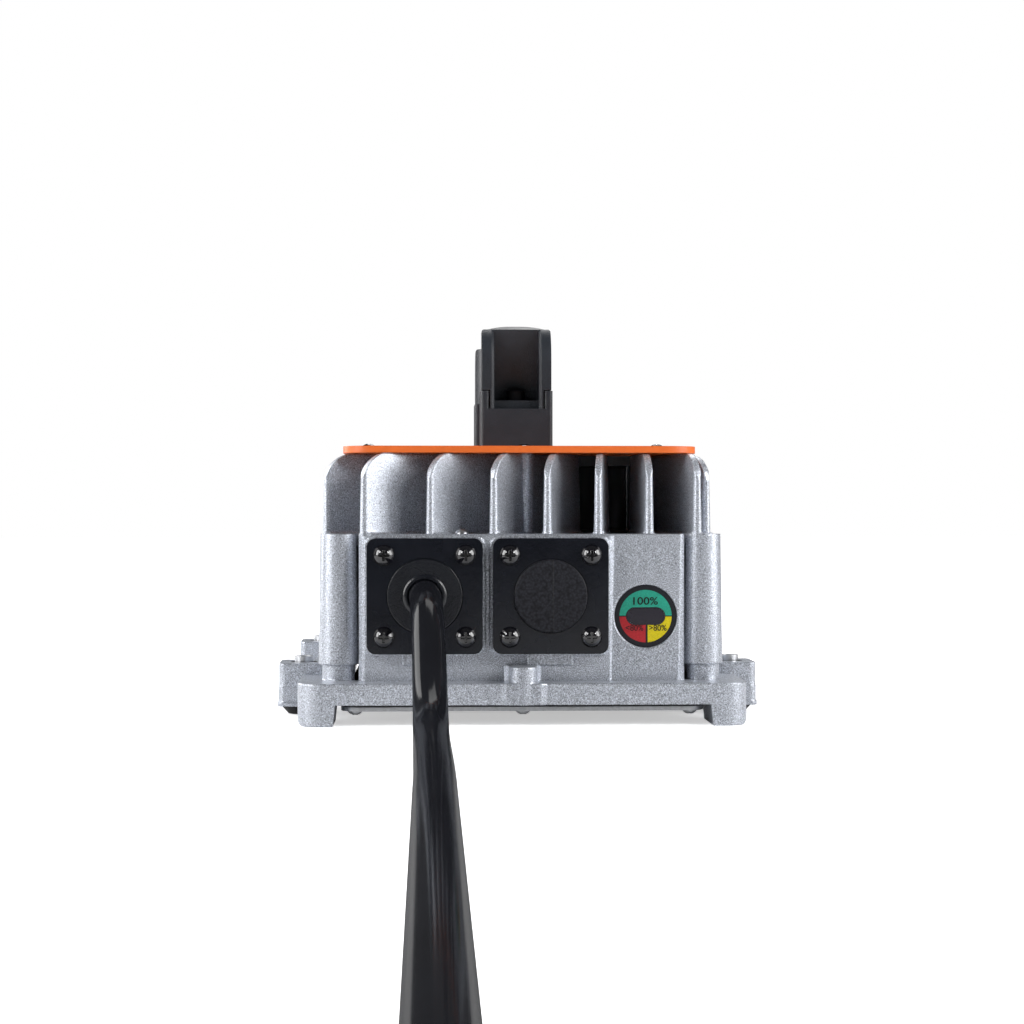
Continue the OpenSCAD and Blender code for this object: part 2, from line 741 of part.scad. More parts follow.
// Recess in the front end of the grip: it slopes down to the fixing screw and is open at its foot
module grip_recess() {
    front = -handle_l / 2;
    chamfer = mouth_x - recess_x;
    bend_z = grip_top - shoulder_r;
    translate([-recess_x, 0, 0]) rotate([90, 0, 90]) linear_extrude(2 * recess_x)
        polygon([[front - 1, block_top - 1], [front + 5.5, block_top - 1], [front + 5.5, block_top + 4],
                 [-foot_y + 6, block_top + 4], [-foot_y + 6, block_top + 9], [front + 9, grip_top - 2],
                 [front - 1, grip_top - 2]]);
    // chamfer up the flat front, then round the shoulder
    translate([0, front, block_top - 1]) linear_extrude(bend_z - block_top + 1)
        polygon([[-mouth_x, -1], [mouth_x, -1], [mouth_x, 0], [recess_x, chamfer],
                 [-recess_x, chamfer], [-mouth_x, 0]]);
    intersection() {
        translate([0, front + shoulder_r, bend_z]) rotate([0, 90, 0]) rotate_extrude($fn = 96)
            for (x = [-1, 1]) polygon([[shoulder_r - chamfer, x * recess_x], [shoulder_r, x * mouth_x],
                                       [shoulder_r + 1, x * mouth_x], [shoulder_r + 1, x * recess_x]]);
        translate([-mouth_x - 1, front - 2, bend_z - eps]) cube([2 * mouth_x + 2, 11, shoulder_r]);
    }
}

module handle_grip() {
    color([0.17, 0.17, 0.19]) difference() {
        intersection() {
            translate([-grip_w / 2, 0, block_top]) rotate([90, 0, 90]) linear_extrude(grip_w) grip_side();
            translate([0, handle_l, 0]) rotate([90, 0, 0]) linear_extrude(2 * handle_l) grip_end();
            translate([0, 0, block_top]) linear_extrude(handle_h) grip_plan();
        }
        for (s = [0, 180]) rotate([0, 0, s]) {
            // the end of the grip narrows to a tongue between the cheeks
            for (x = [-1, 1]) translate([x * (tongue_w / 2 + 5), -foot_y, block_top + cheek_h / 2])
                cube([10, foot_l + 8, cheek_h + 0.6], center = true);
            grip_recess();
            translate([0, -foot_y, block_top - 1]) cylinder(h = 6, r = 2.7);
        }
    }
}

module handle_foot_screws() {
    color([0.4, 0.4, 0.41]) for (y = [-1, 1], k = [-1, 1])
        translate([0, y * (foot_y + k * foot_pitch), plate_z + 0.1]) {
            cylinder(h = 2.3, r1 = 4.8, r2 = 2.5);
            cylinder(h = 12, r = 2.05);
        }
}

module handle_grip_screws() {
    color([0.1, 0.1, 0.11]) for (y = [-1, 1]) translate([0, y * foot_y, block_top + 4])
        cap_screw(4.2, 4.6, 2.05, 12);
}

// Outlets

module gland_outline() {
    rrect(gland_w, gland_w, 3.8);
}

// Square flange with a round opening of radius r
module gland_flange(x, r) {
    difference() {
        translate([x, gasket_face, gland_z]) rotate([90, 0, 0]) linear_extrude(gland_t) gland_outline();
        translate([x, gasket_face + 1, gland_z]) rotate([90, 0, 0])
            cylinder(h = gland_t + 2, r = r, $fn = 96);
        for (sx = [-1, 1], sz = [-1, 1])
            translate([x + sx * gland_pitch, gasket_face + 1, gland_z + sz * gland_pitch])
                rotate([90, 0, 0]) cylinder(h = gland_t + 2, r = 2.7);
    }
}

module gland_gasket(x) {
    translate([x, pad_face, gland_z]) rotate([90, 0, 0]) linear_extrude(1) difference() {
        rrect(gland_w - 0.4, gland_w - 0.4, 3.6);
        circle(11.5);
        for (sx = [-1, 1], sz = [-1, 1]) translate([sx * gland_pitch, sz * gland_pitch]) circle(2.7);
    }
}

module gland_screws(x) {
    for (sx = [-1, 1], sz = [-1, 1])
        translate([x + sx * gland_pitch, gland_face, gland_z + sz * gland_pitch])
            rotate([90, 0, 0]) dome_screw(4.5, 3, 2.05, 15, 4.4);
}

module lead_flange() {
    color([0.07, 0.07, 0.09]) gland_flange(lead_x, grommet_r);
}

module lead_flange_gasket() {
    color([0.05, 0.05, 0.05]) gland_gasket(lead_x);
}

module lead_flange_screws() {
    color([0.1, 0.1, 0.11]) gland_screws(lead_x);
}

// Grommet that fills the flange's opening and grips the lead through the wall
module lead_grommet() {
    color([0.08, 0.08, 0.09]) difference() {
        union() {
            translate([lead_x, gasket_face, gland_z]) rotate([90, 0, 0])
                cylinder(h = gland_t, r = grommet_r - 0.1, $fn = 96);
            translate([lead_x, pad_face + 8, gland_z]) rotate([90, 0, 0]) cylinder(h = 9.1, r = 10.6);
        }
        for (s = [-1, 1]) translate([lead_x + s * wire_dx, pad_face + 9, gland_z])
            rotate([90, 0, 0]) cylinder(h = 6, r = wire_r + 0.1);
    }
}

module blank_flange() {
    color([0.07, 0.07, 0.09]) gland_flange(blank_x, bung_r);
}

module blank_flange_gasket() {
    color([0.05, 0.05, 0.05]) gland_gasket(blank_x);
}

module blank_flange_screws() {
    color([0.1, 0.1, 0.11]) gland_screws(blank_x);
}

module blank_bung() {
    color([0.1, 0.1, 0.11]) {
        difference() {
            translate([blank_x, gasket_face, gland_z]) rotate([90, 0, 0])
                cylinder(h = gland_t + 1.2, r = bung_r - 0.1, $fn = 96);
            translate([blank_x, gasket_face - gland_t - 1.2, gland_z]) rotate([90, 0, 0]) difference() {
                translate([0, 0, -0.6]) cylinder(h = 1, r = bung_r + 1, $fn = 96);
                translate([0, 0, -1]) cylinder(h = 2, r1 = bung_r + 0.5, r2 = bung_r - 1.5, $fn = 96);
            }
        }
        translate([blank_x, pad_face + 8, gland_z]) rotate([90, 0, 0]) cylinder(h = 9.1, r = 10.6);
    }
}

// Gauge

dial_t = 1;
dial_back = -panel_y + 0.6;
dial_face = dial_back - dial_t;

module on_dial(y) {
    translate([gauge_x, y, gauge_z]) rotate([90, 0, 0]) children();
}

module gauge_dial() {
    color([0.03, 0.03, 0.03]) on_dial(dial_back) difference() {
        cylinder(h = dial_t, r = gauge_r, $fn = 96);
        translate([0, 0, dial_t - 0.25]) linear_extrude(1) {
            field_green();
            field_red();
            field_yellow();
        }
        translate([0, 0, -1]) linear_extrude(4) pill(window_l, window_h);
    }
}

// Coloured fields, split by narrow black bars
module field_disc() {
    difference() {
        circle(field_r, $fn = 96);
        pill(window_l + 0.6, window_h + 0.6);
    }
}

module field_green() {
    intersection() {
        field_disc();
        translate([-20, 0.25]) square([40, 20]);
    }
}

module field_red() {
    intersection() {
        field_disc();
        translate([-20, -20.2]) square([20, 20]);
    }
}

module field_yellow() {
    intersection() {
        field_disc();
        translate([0.9, -20.2]) square([20, 20]);
    }
}

module gauge_green_field() {
    color([0.16, 0.58, 0.46]) on_dial(dial_face + 0.25) linear_extrude(0.25) field_green();
}

module gauge_red_field() {
    color([0.68, 0.14, 0.16]) on_dial(dial_face + 0.25) linear_extrude(0.25) field_red();
}

module gauge_yellow_field() {
    color([0.82, 0.75, 0.08]) on_dial(dial_face + 0.25) linear_extrude(0.25) field_yellow();
}

module gauge_window() {
    color([0.04, 0.04, 0.05]) on_dial(dial_back) linear_extrude(dial_t) pill(window_l - 0.1, window_h - 0.1);
}

LAMPS = [-4.2, -1.3, 1.6, 4.5];
lamp_board_y = -end_y + draft_in + wall + 3;
module gauge_lamps() {
    color([0.85, 0.86, 0.8]) for (x = LAMPS) on_dial(lamp_board_y) translate([x, 0, 0]) {
        cylinder(h = lamp_board_y - dial_back - 1.8, r = 1.1);
        translate([0, 0, lamp_board_y - dial_back - 1.8]) sphere(1.1);
    }
}

module gauge_board() {
    color([0.1, 0.35, 0.2]) on_dial(lamp_board_y + board_t) difference() {
        linear_extrude(board_t) rrect(30, 16, 1);
        for (x = [-12, 12]) translate([x, 0, -1]) cylinder(h = 4, r = 1.2);
    }
}

// Fan

fan_flange_t = 4.5;
barrel_r = fan_w / 2 - 0.1;
module fan_frame() {
    color([0.06, 0.06, 0.065]) translate([0, 0, fan_z]) {
        difference() {
            union() {
                for (z = [0, fan_t - fan_flange_t]) translate([0, 0, z])
                    linear_extrude(fan_flange_t) rrect(fan_w, fan_w, 5);
                cylinder(h = fan_t, r = barrel_r, $fn = 96);
            }
            translate([0, 0, -1]) cylinder(h = fan_t + 2, r = fan_bore_r, $fn = 96);
            for (x = [-1, 1], y = [-1, 1]) translate([x * fan_pitch, y * fan_pitch, -1])
                cylinder(h = fan_t + 2, r = 1.8);
        }
        difference() {
            union() {
                for (a = [30, 120, 210, 300]) rotate([0, 0, a]) translate([hub_r - 3, -2, 0])
                    cube([fan_bore_r - hub_r + 3.6, 4, 3]);
                cylinder(h = 3, r = hub_r + 1);
                cylinder(h = 20, r = 4.5);
            }
            translate([0, 0, 1]) cylinder(h = 30, r = shaft_r + 0.05);
        }
    }
}

shaft_r = 2;
rotor_z = 5;
rotor_h = 28;
module fan_blade() {
    tip = fan_bore_r - blade_gap;
    chord = 36;
    intersection() {
        rotate([90 - blade_pitch, 0, 0]) translate([hub_r - 1, -1.1, -chord / 2 - 10])
            cube([tip + 10, 2.2, chord + 20]);
        difference() {
            translate([0, 0, -rotor_h / 2 + 0.5]) cylinder(h = rotor_h - 1, r = tip, $fn = 96);
            translate([0, 0, -rotor_h]) cylinder(h = 2 * rotor_h, r = hub_r - 0.6, $fn = 64);
        }
    }
}

module fan_rotor() {
    color([0.05, 0.05, 0.055]) translate([0, 0, fan_z + rotor_z]) {
        difference() {
            cylinder(h = rotor_h, r = hub_r, $fn = 64);
            translate([0, 0, -1]) cylinder(h = rotor_h - 1.5, r = hub_r - 2);
        }
        translate([0, 0, -3.2]) cylinder(h = rotor_h + 2, r = shaft_r);
        for (i = [0:blade_n - 1]) rotate([0, 0, i * 360 / blade_n]) translate([0, 0, rotor_h / 2])
            fan_blade();
    }
}

module fan_stator() {
    color([0.6, 0.35, 0.2]) translate([0, 0, fan_z + 7]) difference() {
        cylinder(h = 12, r = hub_r - 5);
        translate([0, 0, -1]) cylinder(h = 16, r = 4.55);
        for (a = [0:60:300]) rotate([0, 0, a]) translate([10, 0, -1]) cylinder(h = 16, r = 2.4);
    }
}

module fan_screws() {
    color([0.1, 0.1, 0.11]) for (x = [-1, 1], y = [-1, 1])
        translate([x * fan_pitch, y * fan_pitch, 0]) {
            translate([0, 0, plate_top - 2.3]) cylinder(h = 2.2, r1 = 2, r2 = 4.2);
            translate([0, 0, fan_z - 5]) cylinder(h = plate_top - fan_z + 3, r = 1.75);
            translate([0, 0, fan_z - 3.2]) cylinder(h = 3.2, r = 3.8, $fn = 6);
        }
}

// Electronics

module main_board() {
    color([0.08, 0.30, 0.16]) translate([0, 0, board_z]) difference() {
        linear_extrude(board_t) rrect(board_w, board_l, 3);
        for (p = BOARD_SCREWS) translate([p[0], p[1], -1]) cylinder(h = 4, r = 1.7);
    }
}

module main_board_screws() {
    color([0.6, 0.6, 0.6]) for (p = BOARD_SCREWS) translate([p[0], p[1], board_z])
        rotate([180, 0, 0]) dome_screw(2.8, 1.8, 1.2, 9, 2.6);
}

module control_board() {
    color([0.08, 0.30, 0.16]) translate([36, 2, board_top]) cube([board_t, 52, 26]);
}

// Ferrite core with a middle leg inside the winding
core_w = 30;
core_leg = 14;
core_window = 12;
core_side = 8;
core_h = 30;
core_x = -8;
core_y = -30;
module transformer_core() {
    l = core_leg + 2 * core_window + 2 * core_side;
    color([0.2, 0.2, 0.21]) translate([core_x, core_y, board_top]) difference() {
        translate([-core_w / 2, -l / 2, 0]) cube([core_w, l, core_h]);
        for (s = [-1, 1]) translate([-core_w / 2 - 1, s * (core_leg + core_window) / 2 - core_window / 2, 6])
            cube([core_w + 2, core_window, core_h - 12]);
    }
}

module transformer_winding() {
    build = core_window - 0.6;
    color([0.75, 0.6, 0.2]) translate([core_x, core_y, board_top + 6])
        linear_extrude(core_h - 12) difference() {
            rrect(core_w + 0.4 + 2 * build, core_leg + 0.4 + 2 * build, 6);
            square([core_w + 0.4, core_leg + 0.4], center = true);
        }
}

module storage_choke() {
    color([0.72, 0.42, 0.15]) translate([-38, 30, board_top]) rotate_extrude()
        translate([14, 9]) rrect(16, 18, 5);
}

module filter_choke() {
    color([0.65, 0.4, 0.16]) translate([33, -42, board_top]) rotate_extrude()
        translate([8.5, 7]) rrect(10, 14, 3.5);
}

module can(r, h) {
    cylinder(h = h - 0.8, r = r);
    translate([0, 0, h - 0.8 - eps]) cylinder(h = 0.8, r1 = r, r2 = r - 0.8);
}

module bulk_capacitors() {
    color([0.1, 0.12, 0.2]) for (x = [-46, -19, 8]) translate([x, 72, board_top]) can(12.5, 34);
}

module output_capacitors() {
    color([0.1, 0.12, 0.2]) for (x = [-16, 1, 18], y = [-86, -68])
        translate([x, y, board_top]) can(8, 28);
}

device_x = board_w / 2 - 12;
module power_transistors() {
    color([0.06, 0.06, 0.06]) for (y = [-60, -40, -20]) translate([device_x - 5, y, board_top]) {
        translate([0, -7.9, 4]) cube([5, 15.8, 21]);
        for (k = [-5.4, 0, 5.4]) translate([2, k - 0.6, 0]) cube([0.6, 1.2, 4 + eps]);
    }
}

module transistor_bar() {
    color([0.7, 0.71, 0.72]) translate([device_x, -70, board_top]) cube([6, 60, 32]);
}

module relay() {
    color([0.1, 0.2, 0.45]) translate([34, 72, board_top]) linear_extrude(24) rrect(19, 28, 0.8);
}

module fuse() {
    color([0.85, 0.85, 0.8]) translate([56, 62, board_top + 5]) rotate([-90, 0, 0]) cylinder(h = 26, r = 3.2);
    color([0.7, 0.7, 0.6]) for (y = [62, 82]) translate([52, y, board_top]) difference() {
        cube([8, 6, 8]);
        translate([4, -1, 5]) rotate([-90, 0, 0]) cylinder(h = 8, r = 3.2 - eps);
    }
}

// Front face of the terminal block
terminal_y = pad_face + 33.4;

module terminal_block() {
    color([0.1, 0.3, 0.14]) translate([lead_x - 14, terminal_y, board_top]) difference() {
        cube([28, 12, 14]);
        for (s = [-1, 1]) {
            translate([14 + s * wire_dx, -1, 8]) rotate([-90, 0, 0]) cylinder(h = 9, r = wire_r + 0.1);
            translate([14 + s * 7, 8, 11]) cylinder(h = 4, r = 2.4);
        }
    }
}

// One inner wire: out of the grommet, down, and into the terminal block
module inner_wire(dx) {
    bend = 9;
    y0 = pad_face + 11;
    y1 = y0 + 2 * bend;
    z1 = board_top + 8;
    translate([lead_x + dx, y0, gland_z]) {
        rotate([90, 0, 0]) cylinder(h = 8, r = wire_r);
        translate([0, 0, -bend]) rotate([90, 0, 90]) rotate_extrude(angle = 90)
            translate([bend, 0]) circle(wire_r, $fn = 24);
        translate([0, bend, z1 + bend - gland_z]) cylinder(h = gland_z - z1 - 2 * bend, r = wire_r);
    }
    translate([lead_x + dx, y1, z1 + bend]) rotate([90, 0, 90]) rotate([0, 0, 180])
        rotate_extrude(angle = 90) translate([bend, 0]) circle(wire_r, $fn = 24);
    translate([lead_x + dx, y1 - eps, z1]) rotate([-90, 0, 0])
        cylinder(h = terminal_y + 4 - y1, r = wire_r);
}

module inner_wires() {
    color([0.6, 0.1, 0.1]) inner_wire(-wire_dx);
    color([0.1, 0.1, 0.1]) inner_wire(wire_dx);
}

// Lead

module lead() {
    color([0.06, 0.07, 0.08]) tube(LEAD_ROUTE, lead_r, 12);
}

module lead_coil() {
    color([0.06, 0.07, 0.08]) translate([coil_x, coil_y, 0]) rotate_extrude($fn = 72)
        translate([coil_mid_r, 0.15 + lead_d]) rrect(2 * lead_d, 2 * lead_d, lead_r);
}

module lead_tail() {
    color([0.06, 0.07, 0.08]) tube(TAIL_ROUTE, lead_r, 12);
}

// Two pole battery connector with side by side chambers
plug_l = 48;
module plug_shell() {
    color([0.35, 0.36, 0.38]) translate([plug_x, plug_y, plug_z]) rotate([-90, 0, 0]) difference() {
        union() {
            linear_extrude(plug_l) rrect(36, 15.6, 1.6);
            translate([0, 0, 6]) linear_extrude(14) rrect(39, 12, 1.6);
        }
        for (x = [-8.5, 8.5]) translate([x, 0, plug_l - 20]) linear_extrude(21) rrect(12.4, 10, 1);
    }
}

module plug_contacts() {
    color([0.8, 0.8, 0.78]) for (x = [-8.5, 8.5])
        translate([plug_x + x - 4.2, plug_y + plug_l - 20, plug_z - 4.9]) cube([8.4, 15, 2.6]);
}

module coil_tie() {
    color([0.1, 0.1, 0.1]) translate([coil_x, coil_y + coil_mid_r, 0.15 + lead_d]) rotate([0, 90, 0])
        translate([0, 0, -4]) linear_extrude(8) difference() {
            rrect(2 * lead_d + 2.6, 2 * lead_d + 2.6, lead_r + 1.3);
            rrect(2 * lead_d + 0.6, 2 * lead_d + 0.6, lead_r + 0.3);
        }
}

housing();
base_gasket();
base_cover();
base_cover_screws();
top_plate();
top_plate_screws();
handle_grip();
handle_front_foot();
handle_rear_foot();
handle_foot_screws();
handle_grip_screws();
lead_flange();
lead_flange_gasket();
lead_flange_screws();
lead_grommet();
blank_flange();
blank_flange_gasket();
blank_flange_screws();
blank_bung();
gauge_dial();
gauge_green_field();
gauge_red_field();
gauge_yellow_field();
gauge_window();
gauge_lamps();
gauge_board();
rubber_feet();
foot_sleeves();
deck_screw();
fan_frame();
fan_rotor();
fan_stator();
fan_screws();
main_board();
main_board_screws();
control_board();
transformer_core();
transformer_winding();
storage_choke();
filter_choke();
bulk_capacitors();
output_capacitors();
power_transistors();
transistor_bar();
relay();
fuse();
terminal_block();
inner_wires();
lead();
lead_coil();
lead_tail();
plug_shell();
plug_contacts();
coil_tie();
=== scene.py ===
# %% [markdown]
# # A fan cooled battery charger
#
# The charger is a die cast housing with swirl vanes on its deck, a painted
# cover plate, a carry handle, two square outlets and a round charge gauge.
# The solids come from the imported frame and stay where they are. This lesson
# dresses them: each finish is built from nodes, and the pieces that solids
# show too plainly are modelled again and stand in for them.

import math

import bmesh
import bpy
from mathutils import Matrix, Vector


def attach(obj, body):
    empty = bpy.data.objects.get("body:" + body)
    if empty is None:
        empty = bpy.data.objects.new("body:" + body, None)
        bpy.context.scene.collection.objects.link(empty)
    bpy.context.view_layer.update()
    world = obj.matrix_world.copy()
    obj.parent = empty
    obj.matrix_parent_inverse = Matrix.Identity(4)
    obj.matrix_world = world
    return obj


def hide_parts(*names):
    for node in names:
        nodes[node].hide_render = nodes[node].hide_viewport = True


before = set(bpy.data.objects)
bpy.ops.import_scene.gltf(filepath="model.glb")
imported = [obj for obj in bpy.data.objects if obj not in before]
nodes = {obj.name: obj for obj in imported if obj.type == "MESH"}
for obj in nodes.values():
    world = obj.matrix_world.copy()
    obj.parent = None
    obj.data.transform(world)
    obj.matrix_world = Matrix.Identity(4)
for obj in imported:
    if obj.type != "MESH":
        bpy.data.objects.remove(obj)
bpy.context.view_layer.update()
bpy.ops.object.select_all(action="DESELECT")

# %% [markdown]
# ## The camera
#
# The picture looks square at the outlets from about 0.85 m in front of the
# base flange, a little to the left of its middle, at half the charger's
# height. The lens is long, so the sides hardly show. A turn of just over two
# degrees puts the charger where the picture has it, with no shift of the lens.

# %% Camera
camera_place = (-0.040, -0.988, 0.0899)
camera_turn = (math.radians(90), 0, math.radians(-2.36))
bpy.ops.object.camera_add(location=camera_place, rotation=camera_turn)
camera = bpy.context.object
camera.name = "picture_camera"
camera.data.lens = 71.4
camera.data.sensor_width = 36
camera.data.clip_start = 0.01
bpy.context.scene.camera = camera

# %% [markdown]
# ## The output lead
#
# A lead is a fixed length of something that bends only so far. It leaves the
# grommet level, sinks to the surface under its own weight, runs out towards
# the camera and ends in a round coil and a plug. A curve with a round bevel is
# the plainest way to make it, because the curve's own line is its length. Its
# thickness is set point by point, which also keeps the curve's own box true. The
# points on the way down are those of the solid, and the coil is worked out
# turn by turn so that the turns lie beside and on each other.

# %% Route of the lead
lead_d = 0.0136
route_mm = [
    (-41.5, -130.35, 54.3), (-41.3, -139, 54.1), (-40.8, -152, 52.2), (-40.4, -164, 47.8),
    (-40, -175, 41.4), (-39.7, -185, 34), (-39.5, -195, 26.4), (-39.3, -206, 18.9),
    (-39.1, -219, 12.5), (-39, -234, 8.6), (-38.8, -252, 7.2), (-38.6, -275, 6.95),
    (-38.3, -310, 6.95), (-38, -350, 6.95), (-38, -390, 6.95), (-38, -430, 6.95),
    (-38, -470, 6.95), (-38, -510, 6.95), (-38, -550, 6.95), (-38, -590, 6.95),
    (-38, -630, 6.95), (-38, -670, 6.95), (-38, -710, 6.95), (-38, -750, 6.95),
    (-38, -780, 6.95),
]


def ease(t):
    t = min(max(t, 0), 1)
    return t * t * (3 - 2 * t)


coil_x, coil_y = -108.72, -815  # middle of the coil
coil_r = 70.72  # of its turns, at mid-lead
pitch = 13.6  # from one turn to the next, which lies against it
lie = 6.95  # height of a lead's middle that lies on the floor
roll_start, roll_end = 780, 900  # degrees of winding between which the end rolls over


def coil_point(turn):
    """Where the lead's middle is in the coil, at that many degrees of winding, in mm.

    After most of a turn it climbs over its own start and comes down inside the
    first turn. Later it goes in by one more lead, 15 degrees up from level, and
    at the end it rolls over the turn beside it.
    """
    lean_in, lean_up = 0.9659 * pitch, 0.2588 * pitch
    if turn <= roll_start:
        inward = ease((turn - 285) / 75) + ease((turn - 360) / 75) - ease(turn / 75)
        r = coil_r - pitch / 2 * inward - lean_in * ease((turn - 640) / 140)
        upward = ease((turn - 250) / 90) * (1 - ease((turn - 375) / 90))
        z = lie + pitch * upward + lean_up * ease((turn - 720) / 60)
    else:
        roll = math.radians(165 - 105 * ease((turn - roll_start) / (roll_end - roll_start)))
        r = coil_r - pitch / 2 + pitch * math.cos(roll)
        z = lie + pitch * math.sin(roll)
    a = math.radians(turn)
    return (coil_x + r * math.cos(a), coil_y - r * math.sin(a), z)


coil_mm = [coil_point(t) for t in range(0, roll_end + 1, 10)]
tail_mm = [
    (-179.44, -800, 19.1), (-179.44, -785, 18.8), (-179.44, -770, 17.3), (-179.44, -757, 14.6),
    (-179.44, -744, 11.2), (-179.44, -732, 8.8), (-179.44, -722, 8),
]


def smooth_line(points, parts):
    """Points of a smooth line that goes through the given ones."""
    out = []
    p = [Vector(v) / 1000 for v in points]
    p = [2 * p[0] - p[1]] + p + [2 * p[-1] - p[-2]]
    for a, b, c, d in zip(p, p[1:], p[2:], p[3:]):
        for k in range(parts):
            t = k / parts
            bend = (2 * a - 5 * b + 4 * c - d) * t * t + (3 * b - a - 3 * c + d) * t * t * t
            out.append(0.5 * (2 * b + (c - a) * t + bend))
    return out + [p[-2]]


lead_line = smooth_line(route_mm + coil_mm + tail_mm, 3)
lead_length = sum((b - a).length for a, b in zip(lead_line, lead_line[1:]))
print("lead:", len(lead_line), "points,", round(lead_length, 3), "m")

# %% Lead
lead_curve = bpy.data.curves.new("output_lead", "CURVE")
lead_curve.dimensions = "3D"
lead_curve.bevel_depth = 1
lead_curve.bevel_resolution = 8
lead_curve.use_fill_caps = True
strand = lead_curve.splines.new("POLY")
strand.points.add(len(lead_line) - 1)
for point, place in zip(strand.points, lead_line):
    point.co = (*place, 1)
    point.radius = lead_d / 2
strand.use_smooth = True
output_lead = bpy.data.objects.new("output_lead", lead_curve)
bpy.context.scene.collection.objects.link(output_lead)
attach(output_lead, "charger")
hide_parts("lead", "lead_coil", "lead_tail")

# %% [markdown]
# ## How a finish is built
#
# Every finish below starts from the same few nodes. Noise on the piece's own
# coordinates gives colour, gloss and small bumps at the grain's real size, and
# a Bevel node rounds the light on each edge, as on a moulded or cast part. A
# Bevel modifier would cut real faces, but on a solid with hundreds of edges it
# costs far more than it shows at this size.

# %% Helpers for finishes
def new_finish(name):
    finish = bpy.data.materials.new(name)
    finish.use_nodes = True
    tree = finish.node_tree
    shader = tree.nodes["Principled BSDF"]
    place = tree.nodes.new("ShaderNodeTexCoord")
    return finish, tree, shader, place


def noise(tree, place, scale, detail=2.0, roughness=0.5, stretch=None):
    grain = tree.nodes.new("ShaderNodeTexNoise")
    grain.inputs["Scale"].default_value = scale
    grain.inputs["Detail"].default_value = detail
    grain.inputs["Roughness"].default_value = roughness
    if stretch:
        turn = tree.nodes.new("ShaderNodeMapping")
        turn.inputs["Scale"].default_value = stretch
        tree.links.new(place.outputs["Object"], turn.inputs["Vector"])
        tree.links.new(turn.outputs["Vector"], grain.inputs["Vector"])
    else:
        tree.links.new(place.outputs["Object"], grain.inputs["Vector"])
    return grain.outputs["Fac"]


def ramp(tree, value, stops):
    colours = tree.nodes.new("ShaderNodeValToRGB")
    band = colours.color_ramp
    while len(band.elements) > 1:
        band.elements.remove(band.elements[-1])
    band.elements[0].position, band.elements[0].color = stops[0][0], (*stops[0][1], 1)
    for at, colour in stops[1:]:
        band.elements.new(at).color = (*colour, 1)
    tree.links.new(value, colours.inputs["Fac"])
    return colours.outputs["Color"]


def spread_to(tree, value, low, high, start=0.3, end=0.7):
    """The value, which runs from start to end, spread from low to high."""
    span = tree.nodes.new("ShaderNodeMapRange")
    span.inputs["From Min"].default_value = start
    span.inputs["From Max"].default_value = end
    span.inputs["To Min"].default_value = low
    span.inputs["To Max"].default_value = high
    tree.links.new(value, span.inputs["Value"])
    return span.outputs["Result"]


def relief(tree, shader, bumps, edge):
    """Bumps of (height output, depth in m, strength) over edges rounded to a radius in m."""
    under = None
    if edge:
        rounding = tree.nodes.new("ShaderNodeBevel")
        rounding.samples = 6
        rounding.inputs["Radius"].default_value = edge
        under = rounding.outputs["Normal"]
    for height, depth, strength in bumps:
        bump = tree.nodes.new("ShaderNodeBump")
        bump.inputs["Distance"].default_value = depth
        bump.inputs["Strength"].default_value = strength
        tree.links.new(height, bump.inputs["Height"])
        if under is not None:
            tree.links.new(under, bump.inputs["Normal"])
        under = bump.outputs["Normal"]
    if under is not None:
        tree.links.new(under, shader.inputs["Normal"])


def grey(v):
    """The casting's grey, slightly blue."""
    return (v * 0.93, v * 0.98, min(v * 1.09, 1))


def shade(colour, by):
    return tuple(min(1, c * by) for c in colour)


def wear(piece, finish):
    piece.data.materials.clear()
    piece.data.materials.append(finish)


# %% [markdown]
# ## The casting
#
# A die cast housing is shot blasted and then lacquered in silver, so the finish
# is about half metal and half paint. Its grain scatters what it mirrors: flat
# faces are an even grey with a sparkle in it, and only round columns show a band
# of light. Fine noise drives the colour and the bump for the sparkle, coarse
# noise moves the gloss a little, and a few pin holes are left by the casting.

# %% Casting
def casting_finish():
    finish, tree, shader, place = new_finish("blasted_casting")
    grain = noise(tree, place, 2300, 2, 0.7)
    speck = noise(tree, place, 3400, 1, 0.5)
    broad = noise(tree, place, 45, 4, 0.6)
    greys = [(0.30, 0.13), (0.46, 0.42), (0.56, 0.58), (0.70, 0.95)]
    base = ramp(tree, grain, [(at, grey(v)) for at, v in greys])
    tree.links.new(base, shader.inputs["Base Color"])
    shader.inputs["Metallic"].default_value = 0.55
    tree.links.new(spread_to(tree, broad, 0.30, 0.36), shader.inputs["Roughness"])
    pits = tree.nodes.new("ShaderNodeTexVoronoi")
    pits.inputs["Scale"].default_value = 90
    tree.links.new(place.outputs["Object"], pits.inputs["Vector"])
    hole = spread_to(tree, pits.outputs["Distance"], 0, 1, 0.0, 0.04)
    bumps = [(hole, 0.0004, 0.5), (broad, 0.0006, 0.2), (grain, 0.0002, 0.35), (speck, 0.0001, 0.3)]
    edge = 0.0012
    relief(tree, shader, bumps, edge)
    return finish


casting = casting_finish()
wear(nodes["housing"], casting)
